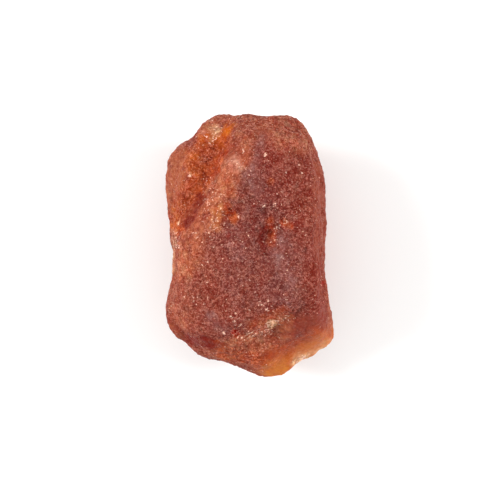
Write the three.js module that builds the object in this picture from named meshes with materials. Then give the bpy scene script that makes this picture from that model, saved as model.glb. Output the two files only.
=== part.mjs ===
// A rough garnet: one broken, water-worn piece of crystal that lies on a flat
// break. The origin is under its middle on the ground, +Z is up and +Y runs
// along its length, from the thin foot to the head. Lengths are millimetres.
//
// The stone is what is left inside its outline, under the faces of its front,
// over the faces of its back and within the breaks and bites all round. Where
// two of these meet, the edge is worn round. A geodesic sphere is blown up from
// the middle of the stone until it meets them.

import * as THREE from "three";
import { mergeVertices } from "three/addons/utils/BufferGeometryUtils.js";
import { ImprovedNoise } from "three/addons/math/ImprovedNoise.js";

// Driving dimensions of the finished stone.
const LENGTH = 17.0;
const WIDTH = 10.9;
const THICKNESS = 8.4;

// The geodesic sphere: 20 * (SPHERE_DETAIL + 1)^2 triangles.
const SPHERE_DETAIL = 19;
const HEART = new THREE.Vector3(0, 0, 4.0);
const LONGEST_REACH = 11;
const HALVINGS = 26;

// The outline seen from above, anticlockwise from the middle of the right side.
const OUTLINE = [
  [4.97, 0.0], [4.97, 1.85], [4.89, 3.15], [4.75, 4.4], // right side
  [4.61, 5.1], [4.26, 6.05], [4.05, 6.7], [3.66, 7.4], // right shoulder
  [3.1, 8.05], [2.45, 8.33], [1.65, 8.37], [0.8, 8.22], // head, with its dip
  [-0.14, 8.4], [-0.72, 8.29], [-1.63, 8.47], [-2.14, 8.33],
  [-2.72, 8.04], [-3.21, 7.58], [-3.66, 6.97], [-4.21, 6.75], // left notch
  [-4.72, 6.37], [-5.11, 5.8], [-5.33, 4.93], [-5.41, 3.5], // left lobe
  [-5.37, 2.1], [-5.15, 1.05], [-5.02, 0.05], [-4.86, -0.43], // waist
  [-4.98, -1.0], [-5.07, -2.1], [-5.3, -3.15], [-5.42, -4.1], // left hip
  [-5.24, -5.15], [-4.85, -5.87], [-4.17, -6.29], [-3.69, -6.74], // left foot
  [-2.98, -7.15], [-1.59, -7.48], [-0.4, -7.93], [0.44, -8.38],
  [1.21, -8.5], [2.05, -8.42], [2.86, -7.93], [3.04, -7.67], // toe, chip
  [4.02, -7.31], [4.95, -6.64], [5.42, -6.19], [5.47, -5.84],
  [5.31, -4.74], [5.11, -3.32], [4.9, -1.97], [4.93, -0.87], // right hip
];
const OUTLINE_STEPS = 260;

// The plain form that the outline's small bends fade into away from the rim.
const PLAIN_OUTLINE = [
  [5.0, 0.5], [4.6, 4.9], [3.3, 7.8], [0.6, 8.45], [-2.2, 8.2],
  [-4.7, 6.2], [-5.4, 3.2], [-5.1, -0.4], [-5.35, -3.9], [-4.0, -6.4],
  [0.8, -8.4], [4.0, -7.5], [5.4, -5.6], [5.1, -2.4],
];
const PLAIN_FROM = 0.2;
const PLAIN_BEYOND = 1.2;
const PLAIN_INSET = 0.3;

// The rim, where the outline is widest: its height above the ground at a few
// places, and how far the wall has leant in 4 mm above it and 4 mm below it.
const RIM = [
  { x: 4.9, y: 3.5, height: 5.0, leanAbove: 0.3, leanBelow: 0.6 },
  { x: 5.0, y: -0.5, height: 3.7, leanAbove: 0.3, leanBelow: 0.5 },
  { x: 5.1, y: -3.5, height: 4.3, leanAbove: 0.5, leanBelow: 0.6 },
  { x: 3.9, y: 7.0, height: 4.1, leanAbove: 0.6, leanBelow: 0.7 },
  { x: 0.5, y: 8.3, height: 4.8, leanAbove: 0.6, leanBelow: 0.5 },
  { x: -2.6, y: 8.0, height: 4.0, leanAbove: 0.8, leanBelow: 0.5 },
  { x: -4.6, y: 6.4, height: 4.1, leanAbove: 1.4, leanBelow: 0.5 },
  { x: -5.3, y: 3.0, height: 3.5, leanAbove: 1.6, leanBelow: 0.6 },
  { x: -5.0, y: -0.5, height: 4.5, leanAbove: 0.8, leanBelow: 0.5 },
  { x: -5.3, y: -4.0, height: 3.7, leanAbove: 0.8, leanBelow: 0.7 },
  { x: -3.4, y: -6.8, height: 3.6, leanAbove: 0.6, leanBelow: 0.8 },
  { x: 0.9, y: -8.3, height: 3.0, leanAbove: 0.9, leanBelow: 0.7 },
  { x: 4.0, y: -7.2, height: 2.9, leanAbove: 0.9, leanBelow: 0.7 },
  { x: 5.4, y: -5.9, height: 3.3, leanAbove: 0.8, leanBelow: 0.8 },
];
const LEAN_OVER = 4;

// Faces of the front and back: each passes through x, y, z and rises by slopeX
// and slopeY.
const FRONT_FACES = [
  { name: "main face", x: 1.5, y: -0.5, z: 7.95, slopeX: -0.05, slopeY: 0.035 },
  { name: "left flank", x: -1.6, y: 1.9, z: 7.7, slopeX: 0.42, slopeY: -0.1 },
  { name: "flank wall", x: -2.65, y: 3.5, z: 7.0, slopeX: 1.05, slopeY: -0.6 },
  { name: "left hip", x: -3.7, y: -3.4, z: 7.1, slopeX: 0.45, slopeY: 0.03 },
  { name: "head", x: 0.2, y: 6.9, z: 7.2, slopeX: -0.05, slopeY: -0.45 },
  { name: "head, left", x: -2.3, y: 7.1, z: 6.2, slopeX: 0.6, slopeY: -0.45 },
  { name: "head, right", x: 3.3, y: 6.8, z: 6.7, slopeX: -0.5, slopeY: -0.45 },
  { name: "foot", x: 0.6, y: -5.9, z: 7.0, slopeX: -0.12, slopeY: 0.55 },
  { name: "foot, right", x: 2.9, y: -6.2, z: 5.7, slopeX: -0.28, slopeY: 0.95 },
  { name: "foot, left", x: -3.6, y: -5.8, z: 6.3, slopeX: 0.45, slopeY: 0.85 },
];
const BACK_FACES = [
  { name: "flat break", x: 0, y: 0, z: -0.6, slopeX: 0, slopeY: 0 },
  { name: "right", x: 2.7, y: 1.5, z: 0.2, slopeX: 0.4, slopeY: 0.06 },
  { name: "left", x: -2.4, y: 2.6, z: 0.15, slopeX: -0.32, slopeY: 0.14 },
  { name: "under head", x: 0.6, y: 4.9, z: 0.3, slopeX: 0.1, slopeY: 0.36 },
  { name: "head corner", x: -2.4, y: 6.0, z: 1.2, slopeX: -0.4, slopeY: 0.4 },
  { name: "under foot", x: -0.3, y: -5.0, z: 0.3, slopeX: -0.08, slopeY: -0.4 },
  { name: "under chip", x: 3.1, y: -5.3, z: 1.1, slopeX: 0.35, slopeY: -0.5 },
  { name: "left hip", x: -3.0, y: -3.6, z: 0.5, slopeX: -0.5, slopeY: -0.2 },
];
const FACE_BLEND = 0.8;
const EDGE_BLEND = 0.8;

// The lobe beside the flank, a low dome, and how sharply it meets the flank.
const LOBE = { x: -4.6, y: 3.7, z: 6.35, slopeX: -0.05, slopeY: 0.03, sag: 0.07 };
const LOBE_BLEND = 0.6;

// Breaks: flat faces all round, each through x, y, z. Its outward side looks
// `toward` degrees round from +X and `up` degrees above level.
const BREAKS = [
  { name: "right, upper", x: 4.78, y: 1.6, z: 5.6, toward: 2, up: 14 },
  { name: "right, lower", x: 4.2, y: 2.4, z: 1.0, toward: 14, up: -36 },
  { name: "right hip", x: 5.0, y: -3.2, z: 5.9, toward: -4, up: 20 },
  { name: "under right hip", x: 4.5, y: -3.0, z: 1.1, toward: -8, up: -42 },
  { name: "shoulder", x: 3.75, y: 7.2, z: 5.9, toward: 48, up: 30 },
  { name: "under shoulder", x: 3.2, y: 6.4, z: 1.3, toward: 54, up: -36 },
  { name: "head", x: 0.4, y: 8.0, z: 6.1, toward: 84, up: 40 },
  { name: "under head", x: -0.6, y: 7.2, z: 1.2, toward: 102, up: -34 },
  { name: "notch", x: -3.5, y: 7.1, z: 5.4, toward: 130, up: 34 },
  { name: "under notch", x: -3.6, y: 6.2, z: 1.2, toward: 140, up: -36 },
  { name: "lobe", x: -5.0, y: 4.3, z: 5.3, toward: 168, up: 38 },
  { name: "under lobe", x: -4.6, y: 3.2, z: 1.1, toward: 172, up: -34 },
  { name: "waist", x: -4.95, y: -0.4, z: 5.9, toward: 180, up: 26 },
  { name: "under waist", x: -4.6, y: -0.6, z: 0.9, toward: 188, up: -28 },
  { name: "hip", x: -5.25, y: -3.0, z: 5.5, toward: 190, up: 32 },
  { name: "under hip", x: -4.4, y: -4.6, z: 1.2, toward: 208, up: -40 },
  { name: "left foot", x: -3.7, y: -6.55, z: 4.9, toward: 238, up: 24 },
  { name: "under left foot", x: -2.3, y: -6.4, z: 0.9, toward: 246, up: -38 },
  { name: "under toe", x: 1.4, y: -7.5, z: 1.2, toward: 274, up: -44 },
  { name: "under lip", x: 4.4, y: -6.8, z: 2.95, toward: 308, up: -54 },
];
const BREAK_BLEND = 0.35;

// Bites: shell-shaped hollows, each a ball of this radius around x, y, z.
const BITES = [
  { name: "right side", x: 9.75, y: -0.4, z: 2.2, radius: 5.2 },
  { name: "left side", x: -9.5, y: -0.2, z: 2.4, radius: 4.7 },
  { name: "back of the head", x: 1.6, y: 11.6, z: 0.6, radius: 5.0 },
  { name: "under the hip", x: -6.9, y: -7.0, z: 0.6, radius: 3.9 },
  { name: "under the toe", x: 1.8, y: -12.3, z: -0.9, radius: 5.3 },
  { name: "behind the chip", x: 6.9, y: -8.6, z: 0.0, radius: 4.3 },
  { name: "beside the lobe", x: -8.5, y: 7.2, z: 1.8, radius: 3.9 },
];

// Dishes: shallow hollows where small shells have flaked off, spread evenly over
// the whole stone, each of a radius and a depth between these.
const DISH_COUNT = 150;
const DISH_RADIUS = [1.3, 2.3];
const DISH_DEPTH = [0.08, 0.34];

// Channels and ledges along a line. A channel is hollowed evenly to both sides.
// A ledge drops over its brow on its right-hand side, going along the line, and
// rises again over its width.
const CHANNELS = [
  {
    name: "beside the flank",
    line: [[-2.2, 6.8], [-2.6, 5.6], [-3.3, 4.4], [-3.65, 3.2], [-4.45, 1.0]],
    depth: 0.18,
    width: 1.0,
  },
  {
    name: "across the main face",
    line: [[-0.3, 3.3], [0.7, 1.4], [1.0, -0.4], [2.3, -1.8]],
    depth: 0.22,
    width: 0.9,
  },
  {
    name: "in the head's dip",
    line: [[0.75, 8.4], [0.45, 7.2], [1.0, 5.6], [2.6, 4.6]],
    depth: 0.25,
    width: 0.8,
  },
];
const LEDGES = [
  {
    name: "crumbled step",
    line: [[-0.9, -6.6], [0.0, -6.0], [0.8, -5.6], [1.4, -4.95], [2.6, -4.4]],
    depth: 0.6,
    width: 1.3,
    brow: 0.5,
  },
  {
    name: "edge of the lip",
    line: [[1.0, -7.6], [2.2, -6.9], [3.6, -6.2], [5.3, -5.5]],
    depth: 0.8,
    width: 2.0,
    brow: 0.5,
  },
];

// Pits: length along the line that turn gives, from +X, and width across it.
const PITS = [
  { x: 0.95, y: 0.5, depth: 0.62, length: 0.85, width: 0.42, turn: 82 },
  { x: 1.6, y: 0.8, depth: 0.3, length: 0.6, width: 0.4, turn: 75 },
  { x: -1.2, y: 2.1, depth: 0.4, length: 0.7, width: 0.5, turn: 60 },
  { x: 1.3, y: 4.0, depth: 0.35, length: 0.6, width: 0.5, turn: 20 },
  { x: 3.4, y: 3.2, depth: 0.3, length: 0.6, width: 0.5, turn: 0 },
  { x: 3.1, y: 5.6, depth: 0.28, length: 0.5, width: 0.5, turn: 0 },
  { x: -0.9, y: -5.5, depth: 0.35, length: 0.6, width: 0.45, turn: 110 },
];

// Lumps, given as pits are.
const LUMPS = [
  { x: -0.95, y: 5.15, depth: 0.35, length: 0.8, width: 0.55, turn: 110 },
  { x: -1.3, y: -3.6, depth: 0.22, length: 1.8, width: 1.1, turn: 100 },
  { x: 2.6, y: -2.9, depth: 0.25, length: 1.4, width: 0.9, turn: 75 },
  { x: 2.7, y: 1.6, depth: 0.18, length: 1.2, width: 0.8, turn: 100 },
  { x: 0.3, y: -7.1, depth: 0.2, length: 0.9, width: 0.6, turn: 10 },
];

// Unevenness all over, and how much of it and of the dishes is left at the rim,
// which the outline already shapes.
const SWELLS = [
  { size: 2.9, depth: 0.25 },
  { size: 1.3, depth: 0.12 },
];
const ROUGH_AT_RIM = 0.35;

const { clamp, lerp, degToRad, smoothstep } = THREE.MathUtils;
const noise = new ImprovedNoise();

// The lower of two heights, rounded off where they meet within blend.
function lower(a, b, blend) {
  const share = clamp(0.5 + (0.5 * (b - a)) / blend, 0, 1);
  return lerp(b, a, share) - blend * share * (1 - share);
}

function upper(a, b, blend) {
  return -lower(-a, -b, blend);
}

function faceHeight(face, x, y) {
  return face.z + face.slopeX * (x - face.x) + face.slopeY * (y - face.y);
}

// The nearest place on a line of points: how far it is, how far x, y lies to
// the line's right (below 0 to its left), and the share of the line gone by.
function alongLine(line, x, y) {
  const found = { distance: Infinity, right: 0, share: 0 };
  for (let i = 0; i + 1 < line.length; i += 1) {
    const [ax, ay] = line[i];
    const dx = line[i + 1][0] - ax;
    const dy = line[i + 1][1] - ay;
    const t = clamp(((x - ax) * dx + (y - ay) * dy) / (dx * dx + dy * dy), 0, 1);
    const distance = Math.hypot(x - ax - t * dx, y - ay - t * dy);
    if (distance < found.distance) {
      found.distance = distance;
      found.right = distance * Math.sign((x - ax) * dy - (y - ay) * dx);
      found.share = (i + t) / (line.length - 1);
    }
  }
  return found;
}

function bell(ratio) {
  return Math.exp(-ratio * ratio);
}

function channelDepth(channel, x, y) {
  const { distance, share } = alongLine(channel.line, x, y);
  const fade = 0.35 + 0.65 * Math.sin(Math.PI * share);
  return channel.depth * fade * bell(distance / channel.width);
}

function ledgeDepth(ledge, x, y) {
  const { right, share } = alongLine(ledge.line, x, y);
  const drop = smoothstep(right, -ledge.brow, ledge.brow);
  const fade = bell(Math.max(right, 0) / ledge.width);
  return ledge.depth * Math.sin(Math.PI * share) * drop * fade;
}

function spotDepth(spot, x, y) {
  const turn = degToRad(spot.turn);
  const dx = x - spot.x;
  const dy = y - spot.y;
  const along = (dx * Math.cos(turn) + dy * Math.sin(turn)) / spot.length;
  const across = (dy * Math.cos(turn) - dx * Math.sin(turn)) / spot.width;
  return spot.depth * bell(Math.hypot(along, across));
}

function total(features, depthOf, x, y) {
  return features.reduce((sum, feature) => sum + depthOf(feature, x, y), 0);
}

// A closed curve through an outline's points, as a line of short steps.
function closedLine(outline, steps) {
  const points = outline.map(([x, y]) => new THREE.Vector3(x, y, 0));
  const curve = new THREE.CatmullRomCurve3(points, true, "centripetal");
  return curve.getPoints(steps).map(({ x, y }) => [x, y]);
}

const rimLine = closedLine(OUTLINE, OUTLINE_STEPS);
const plainLine = closedLine(PLAIN_OUTLINE, OUTLINE_STEPS / 4);

// How far x, y lies inside a closed line, below 0 outside it.
function insideLine(line, x, y) {
  const { distance } = alongLine(line, x, y);
  let inside = false;
  for (let i = 0; i + 1 < line.length; i += 1) {
    const [ax, ay] = line[i];
    const [bx, by] = line[i + 1];
    const crosses = ay > y !== by > y;
    if (crosses && x < ax + ((y - ay) * (bx - ax)) / (by - ay)) inside = !inside;
  }
  return inside ? distance : -distance;
}

// The rim's height and the walls' lean near x, y, from the places in RIM.
function rimAt(x, y) {
  const found = { height: 0, leanAbove: 0, leanBelow: 0 };
  let weights = 0;
  for (const place of RIM) {
    const weight = 1 / ((x - place.x) ** 2 + (y - place.y) ** 2 + 0.3) ** 2;
    weights += weight;
    for (const key of Object.keys(found)) found[key] += weight * place[key];
  }
  for (const key of Object.keys(found)) found[key] /= weights;
  return found;
}

// How far inside the wall a point lies. The wall leans in above and below the
// rim, and the outline's small bends fade out.
function insideWall({ x, y, z }, rim) {
  const away = z - rim.height;
  const lean = away > 0 ? rim.leanAbove : rim.leanBelow;
  const fade = smoothstep(Math.abs(away), PLAIN_FROM, PLAIN_BEYOND);
  const plain = insideLine(plainLine, x, y) - PLAIN_INSET;
  const inside = lerp(insideLine(rimLine, x, y), plain, fade);
  return inside - lean * (away / LEAN_OVER) ** 2;
}

function frontRelief(x, y) {
  const body = FRONT_FACES.map((face) => faceHeight(face, x, y)).reduce(
    (a, b) => lower(a, b, FACE_BLEND),
  );
  const reach = (x - LOBE.x) ** 2 + (y - LOBE.y) ** 2;
  const lobe = faceHeight(LOBE, x, y) - LOBE.sag * reach;
  const relief = upper(body, lobe, LOBE_BLEND);
  const hollows =
    total(CHANNELS, channelDepth, x, y) +
    total(LEDGES, ledgeDepth, x, y) +
    total(PITS, spotDepth, x, y);
  return relief - hollows + total(LUMPS, spotDepth, x, y);
}

function backRelief(x, y) {
  return BACK_FACES.map((face) => faceHeight(face, x, y)).reduce((a, b) =>
    upper(a, b, FACE_BLEND),
  );
}

// How far inside a flat break a point lies.
function insideBreak(face, { x, y, z }) {
  const toward = degToRad(face.toward);
  const up = degToRad(face.up);
  return (
    (face.x - x) * Math.cos(up) * Math.cos(toward) +
    (face.y - y) * Math.cos(up) * Math.sin(toward) +
    (face.z - z) * Math.sin(up)
  );
}

function outsideBite(bite, { x, y, z }) {
  return Math.hypot(x - bite.x, y - bite.y, z - bite.z) - bite.radius;
}

// How deep a point lies in the stone, below 0 outside it.
function depthInside(point) {
  const { x, y, z } = point;
  let depth = insideWall(point, rimAt(x, y));
  depth = lower(depth, frontRelief(x, y) - z, EDGE_BLEND);
  depth = lower(depth, z - backRelief(x, y), EDGE_BLEND);
  for (const face of BREAKS) {
    depth = lower(depth, insideBreak(face, point), BREAK_BLEND);
  }
  for (const bite of BITES) {
    depth = lower(depth, outsideBite(bite, point), BREAK_BLEND);
  }
  return depth;
}

// The place where a ray from the heart leaves the stone. Directions are drawn
// out as the stone is, so that its long ends get their share of points.
function leavingPoint(sphereDirection) {
  const drawnOut = new THREE.Vector3(WIDTH, LENGTH, THICKNESS);
  const direction = sphereDirection.clone().multiply(drawnOut).normalize();
  const point = new THREE.Vector3();
  let inner = 0;
  let outer = LONGEST_REACH;
  for (let i = 0; i < HALVINGS; i += 1) {
    const middle = (inner + outer) / 2;
    point.copy(HEART).addScaledVector(direction, middle);
    if (depthInside(point) > 0) inner = middle;
    else outer = middle;
  }
  return point;
}

// A number from 0 to 1 that looks random and is the same for the same seed.
function scatter(seed) {
  const value = Math.sin(seed * 127.1) * 43758.5453;
  return value - Math.floor(value);
}

function makeDishes() {
  const goldenAngle = Math.PI * (3 - Math.sqrt(5));
  const dishes = [];
  for (let i = 0; i < DISH_COUNT; i += 1) {
    const level = 1 - (2 * (i + 0.5)) / DISH_COUNT;
    const round = Math.sqrt(1 - level * level);
    const x = round * Math.cos(i * goldenAngle);
    const y = round * Math.sin(i * goldenAngle);
    dishes.push({
      centre: leavingPoint(new THREE.Vector3(x, y, level)),
      radius: lerp(...DISH_RADIUS, scatter(i + 1)),
      depth: lerp(...DISH_DEPTH, scatter(i + 1001)),
    });
  }
  return dishes;
}

const dishes = makeDishes();

function dishDepth(point) {
  return dishes.reduce((deepest, { centre, radius, depth }) => {
    const ratio = point.distanceTo(centre) / radius;
    return Math.max(deepest, depth * (1 - ratio * ratio));
  }, 0);
}

function swell(point) {
  return SWELLS.reduce((sum, { size, depth }, i) => {
    const shift = 17.3 * (i + 1); // so that the sizes don't line up
    const value = noise.noise(
      point.x / size + shift,
      point.y / size + shift,
      point.z / size + shift,
    );
    return sum + depth * value;
  }, 0);
}

// The stone's surface in a direction, with its swells and dishes.
function surfacePoint(sphereDirection) {
  const point = leavingPoint(sphereDirection);
  const away = Math.abs(point.z - rimAt(point.x, point.y).height);
  const share = lerp(ROUGH_AT_RIM, 1, smoothstep(away, 0, PLAIN_BEYOND));
  const rise = share * (swell(point) - dishDepth(point));
  return point.sub(HEART).setLength(point.length() + rise).add(HEART);
}

function stoneGeometry() {
  const sphere = new THREE.IcosahedronGeometry(1, SPHERE_DETAIL);
  sphere.deleteAttribute("normal");
  sphere.deleteAttribute("uv");
  const geometry = mergeVertices(sphere, 1e-5);
  const position = geometry.getAttribute("position");
  const direction = new THREE.Vector3();
  for (let i = 0; i < position.count; i += 1) {
    direction.fromBufferAttribute(position, i);
    const point = surfacePoint(direction);
    position.setXYZ(i, point.x, point.y, Math.max(point.z, 0));
  }
  // Set to its exact size, with the middle of its foot at the origin.
  geometry.computeBoundingBox();
  const { min, max } = geometry.boundingBox;
  geometry.translate(-(min.x + max.x) / 2, -(min.y + max.y) / 2, -min.z);
  geometry.scale(
    WIDTH / (max.x - min.x),
    LENGTH / (max.y - min.y),
    THICKNESS / (max.z - min.z),
  );
  geometry.computeVertexNormals();
  return geometry;
}

const garnet = new THREE.Mesh(
  stoneGeometry(),
  new THREE.MeshStandardMaterial({
    color: 0x9c4f3c,
    roughness: 0.45,
    metalness: 0,
  }),
);
garnet.name = "garnet";

const part = new THREE.Group();
part.add(garnet);

export default part;
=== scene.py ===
"""Looks of the rough garnet: one broken, water-worn crystal on a pale floor, seen from above.

The stone's mesh is the CAD solid, subdivided and then carved finer by the named features below.
Places and depths are in millimetres of the row frame, and go into Blender as metres.
"""

import math
from typing import NamedTuple

import bmesh
import bpy
import numpy as np
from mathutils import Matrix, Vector, noise
from mathutils.bvhtree import BVHTree


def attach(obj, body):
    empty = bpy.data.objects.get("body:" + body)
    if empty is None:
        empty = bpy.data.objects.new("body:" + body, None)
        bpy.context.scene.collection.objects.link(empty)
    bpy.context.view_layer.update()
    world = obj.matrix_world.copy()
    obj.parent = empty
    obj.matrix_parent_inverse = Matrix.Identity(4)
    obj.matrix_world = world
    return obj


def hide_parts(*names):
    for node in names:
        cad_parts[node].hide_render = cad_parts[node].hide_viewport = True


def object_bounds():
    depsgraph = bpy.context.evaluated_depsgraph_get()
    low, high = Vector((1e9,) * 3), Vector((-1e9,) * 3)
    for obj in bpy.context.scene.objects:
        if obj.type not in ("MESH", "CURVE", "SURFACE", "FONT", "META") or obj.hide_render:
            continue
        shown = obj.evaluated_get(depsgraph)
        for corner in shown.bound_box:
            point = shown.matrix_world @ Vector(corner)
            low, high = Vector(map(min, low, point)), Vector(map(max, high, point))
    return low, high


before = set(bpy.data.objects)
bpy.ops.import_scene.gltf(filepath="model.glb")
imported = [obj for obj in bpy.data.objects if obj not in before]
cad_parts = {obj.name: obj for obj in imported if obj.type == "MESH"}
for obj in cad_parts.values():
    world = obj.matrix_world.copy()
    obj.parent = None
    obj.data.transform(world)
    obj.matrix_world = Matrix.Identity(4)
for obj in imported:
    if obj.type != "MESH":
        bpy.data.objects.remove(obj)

MM = 0.001
NODE = "garnet"
UP = np.array([0, 0, 1.0])

cad_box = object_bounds()

# Without a seed the noise that bends lines starts from the clock, and no two runs give the same stone.
noise.seed_set(1)

# ---------------------------------------------------------------- the carved shape

# How many times each CAD triangle is parted: 8,000 become 96,000 quads.
SUBDIVISIONS = 2

# CAD corners nearer to each other than this, in metres, are one corner.
SAME_CORNER = 1e-6

# Lines that the shape and the colours follow, seen from above.
FLANK_EDGE = [(-4.5, 0.5), (-4.1, 1.0), (-3.5, 1.9), (-2.85, 2.87), (-2.53, 3.84), (-1.8, 4.81), (-1.35, 5.9),
              (-1.2, 7.3)]
CRUMBLED_EDGE = [(3.2, -4.1), (2.3, -4.45), (1.4, -5.0), (0.83, -5.6), (0.05, -6.03), (-0.7, -6.6)]
HIP_EDGE = [(-1.2, -6.5), (-2.0, -5.9), (-2.9, -5.72), (-3.6, -5.7), (-4.1, -5.55), (-4.5, -5.3),
            (-4.92, -5.0), (-5.3, -4.5)]
RIGHT_EDGE = [(3.85, 5.8), (4.02, 3.6), (4.12, 1.5), (4.1, -1.0), (4.35, -3.4)]
LIP_EDGE = [(8.0, -3.6), (5.6, -4.5), (4.2, -5.2), (2.9, -5.7), (2.0, -6.7), (0.6, -7.2), (0.0, -8.2),
            (-0.8, -10.0)]

# Steps down along a line, on its left-hand side: the surface falls by `depth` within `brow` mm of the line,
# and comes back over about `reach` mm.
STEPS = {
    "flank wall": dict(line=FLANK_EDGE, depth=0.34, brow=0.14, reach=1.3),
    "crumbled step": dict(line=CRUMBLED_EDGE, depth=0.24, brow=0.14, reach=1.2),
    "hip's edge": dict(line=HIP_EDGE, depth=0.24, brow=0.14, reach=0.5),
    "right edge": dict(line=RIGHT_EDGE, depth=0.16, brow=0.12, reach=0.5),
}

# Pits, and lumps where the depth is below 0: half their length along the line that `turn` gives in degrees
# from +X, and half their width.
SPOTS = [
    dict(x=0.95, y=0.45, depth=-0.25, length=0.8, width=0.4, turn=82),
    dict(x=-3.0, y=4.75, depth=-0.26, length=0.9, width=0.5, turn=62),
    dict(x=-2.45, y=6.15, depth=-0.18, length=0.5, width=0.4, turn=60),
    dict(x=-3.2, y=5.9, depth=0.12, length=0.3, width=0.2, turn=20),
    dict(x=1.45, y=-4.85, depth=-0.16, length=0.3, width=0.2, turn=20),
    dict(x=2.1, y=-4.6, depth=-0.1, length=0.3, width=0.16, turn=10),
    dict(x=0.85, y=-5.6, depth=-0.14, length=0.25, width=0.18, turn=40),
    dict(x=-0.9, y=-5.5, depth=-0.12, length=0.2, width=0.16, turn=0),
    dict(x=1.3, y=-5.15, depth=0.14, length=0.4, width=0.12, turn=30),
    dict(x=1.0, y=-0.25, depth=0.14, length=0.3, width=0.16, turn=70),
    dict(x=1.5, y=1.0, depth=0.12, length=0.35, width=0.22, turn=60),
    dict(x=2.3, y=1.5, depth=0.16, length=0.22, width=0.2, turn=0),
    dict(x=-1.24, y=2.15, depth=0.2, length=0.4, width=0.25, turn=60),
    dict(x=1.28, y=4.0, depth=0.16, length=0.25, width=0.26, turn=0),
    dict(x=3.1, y=5.45, depth=0.15, length=0.35, width=0.2, turn=20),
    dict(x=2.7, y=7.4, depth=0.18, length=0.4, width=0.2, turn=160),
    dict(x=3.65, y=3.4, depth=0.15, length=0.35, width=0.22, turn=10),
    dict(x=3.52, y=-0.4, depth=0.14, length=0.22, width=0.16, turn=60),
    dict(x=-0.92, y=-5.5, depth=0.16, length=0.25, width=0.15, turn=120),
    dict(x=0.1, y=2.9, depth=0.1, length=0.3, width=0.2, turn=40),
    dict(x=-2.9, y=0.45, depth=0.12, length=0.16, width=0.14, turn=75),
]

# Ripples of the shell-shaped break under the crumbled step: rings round a middle, `length` mm apart, that
# show within `width` mm of the place `at`.
RIPPLES = dict(x=1.9, y=-4.2, depth=0.03, length=0.26, at=(1.8, -5.5), width=0.6)

# The band along the crumbled step, and how far to each side of the line it is crumbled.
CRUMBLED_BAND = dict(line=CRUMBLED_EDGE + [(-1.2, -5.6)], width=0.4)

# Where the stone is pitted and mottled more strongly than elsewhere.
PITTED = dict(line=[(2.8, 7.0), (2.6, 5.0), (2.3, 3.0), (1.8, 1.2), (-1.2, 2.4)], width=2.4)

# Grain all over: the size of its cells, whose middles stand proud by half of `depth`. It is deeper by these
# shares where the stone is crumbled or pitted, and shallower on the smooth lip.
GRAINS = [
    dict(size=0.5, depth=0.06, shift=3.7),
    dict(size=0.27, depth=0.06, shift=11.9),
    dict(size=0.16, depth=0.035, shift=23.1),
]
CRUMBLED_GRAIN = 2.2
PITTED_GRAIN = 0.9
LIP_SMOOTHNESS = 0.85

# Ridges of a broken surface, about as wide apart as `size`.
HACKLE = [dict(size=1.7, depth=0.056, shift=5.3), dict(size=0.8, depth=0.04, shift=8.1)]

# Grain and ridges grow in between these heights, so that the stone still lies flat.
GROUND = (0.02, 0.3)

# The front's features grow in between these upward parts of the normal, and between these heights.
FRONT_SLOPE = (0.05, 0.4)
FRONT_HEIGHT = (2.6, 3.8)

# The lip begins between these distances to the left of its edge.
LIP_BORDER = (-0.3, 0.4)

# What lies along a line fades out over this share of the line at each end.
LINE_END = 0.06

# How far lines and spots are bent from their plain courses, over bends of this size.
WANDER = [dict(size=1.4, reach=0.12), dict(size=0.5, reach=0.14), dict(size=0.2, reach=0.1)]


def stone_mesh():
    """The CAD solid's mesh, with its doubled corners joined and subdivided."""
    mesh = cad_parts[NODE].data.copy()
    made = bmesh.new()
    made.from_mesh(mesh)
    bmesh.ops.remove_doubles(made, verts=made.verts, dist=SAME_CORNER)
    bmesh.ops.recalc_face_normals(made, faces=made.faces)
    made.to_mesh(mesh)
    made.free()
    mesh.materials.clear()
    carrier = bpy.data.objects.new("carrier", mesh)
    bpy.context.scene.collection.objects.link(carrier)
    rounding = carrier.modifiers.new("rounding", "SUBSURF")
    rounding.levels = SUBDIVISIONS
    rounding.render_levels = SUBDIVISIONS
    fine = bpy.data.meshes.new_from_object(carrier.evaluated_get(bpy.context.evaluated_depsgraph_get()))
    bpy.data.objects.remove(carrier)
    return fine


def points_of(mesh):
    """The mesh's points in mm, a row each."""
    values = np.empty(len(mesh.vertices) * 3)
    mesh.vertices.foreach_get("co", values)
    return values.reshape(-1, 3) / MM


def set_points(mesh, points):
    mesh.vertices.foreach_set("co", (points * MM).ravel())
    mesh.update()


def normals_of(mesh):
    values = np.empty(len(mesh.vertices) * 3)
    mesh.vertex_normals.foreach_get("vector", values)
    return values.reshape(-1, 3)


def edges_of(mesh):
    """The numbers of the two points that each edge joins."""
    values = np.empty(len(mesh.edges) * 2, dtype=np.int64)
    mesh.edges.foreach_get("vertices", values)
    return values.reshape(-1, 2)


def smoothed(values, edges, rounds):
    """values averaged with their neighbours along the mesh's edges, over and over."""
    values = np.array(values, dtype=float)
    ends = np.concatenate([edges, edges[:, ::-1]])
    count = np.bincount(ends[:, 0], minlength=len(values))
    for _ in range(rounds):
        total = np.bincount(ends[:, 0], weights=values[ends[:, 1]], minlength=len(values))
        values = 0.5 * values + 0.5 * total / count
    return values


def smooth_step(value, low, high):
    """0 at low and below it, 1 at high and above it, or the other way round where low is the higher."""
    t = np.clip((value - low) / (high - low), 0, 1)
    return t * t * (3 - 2 * t)


def bell(ratio):
    return np.exp(-ratio * ratio)


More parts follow.
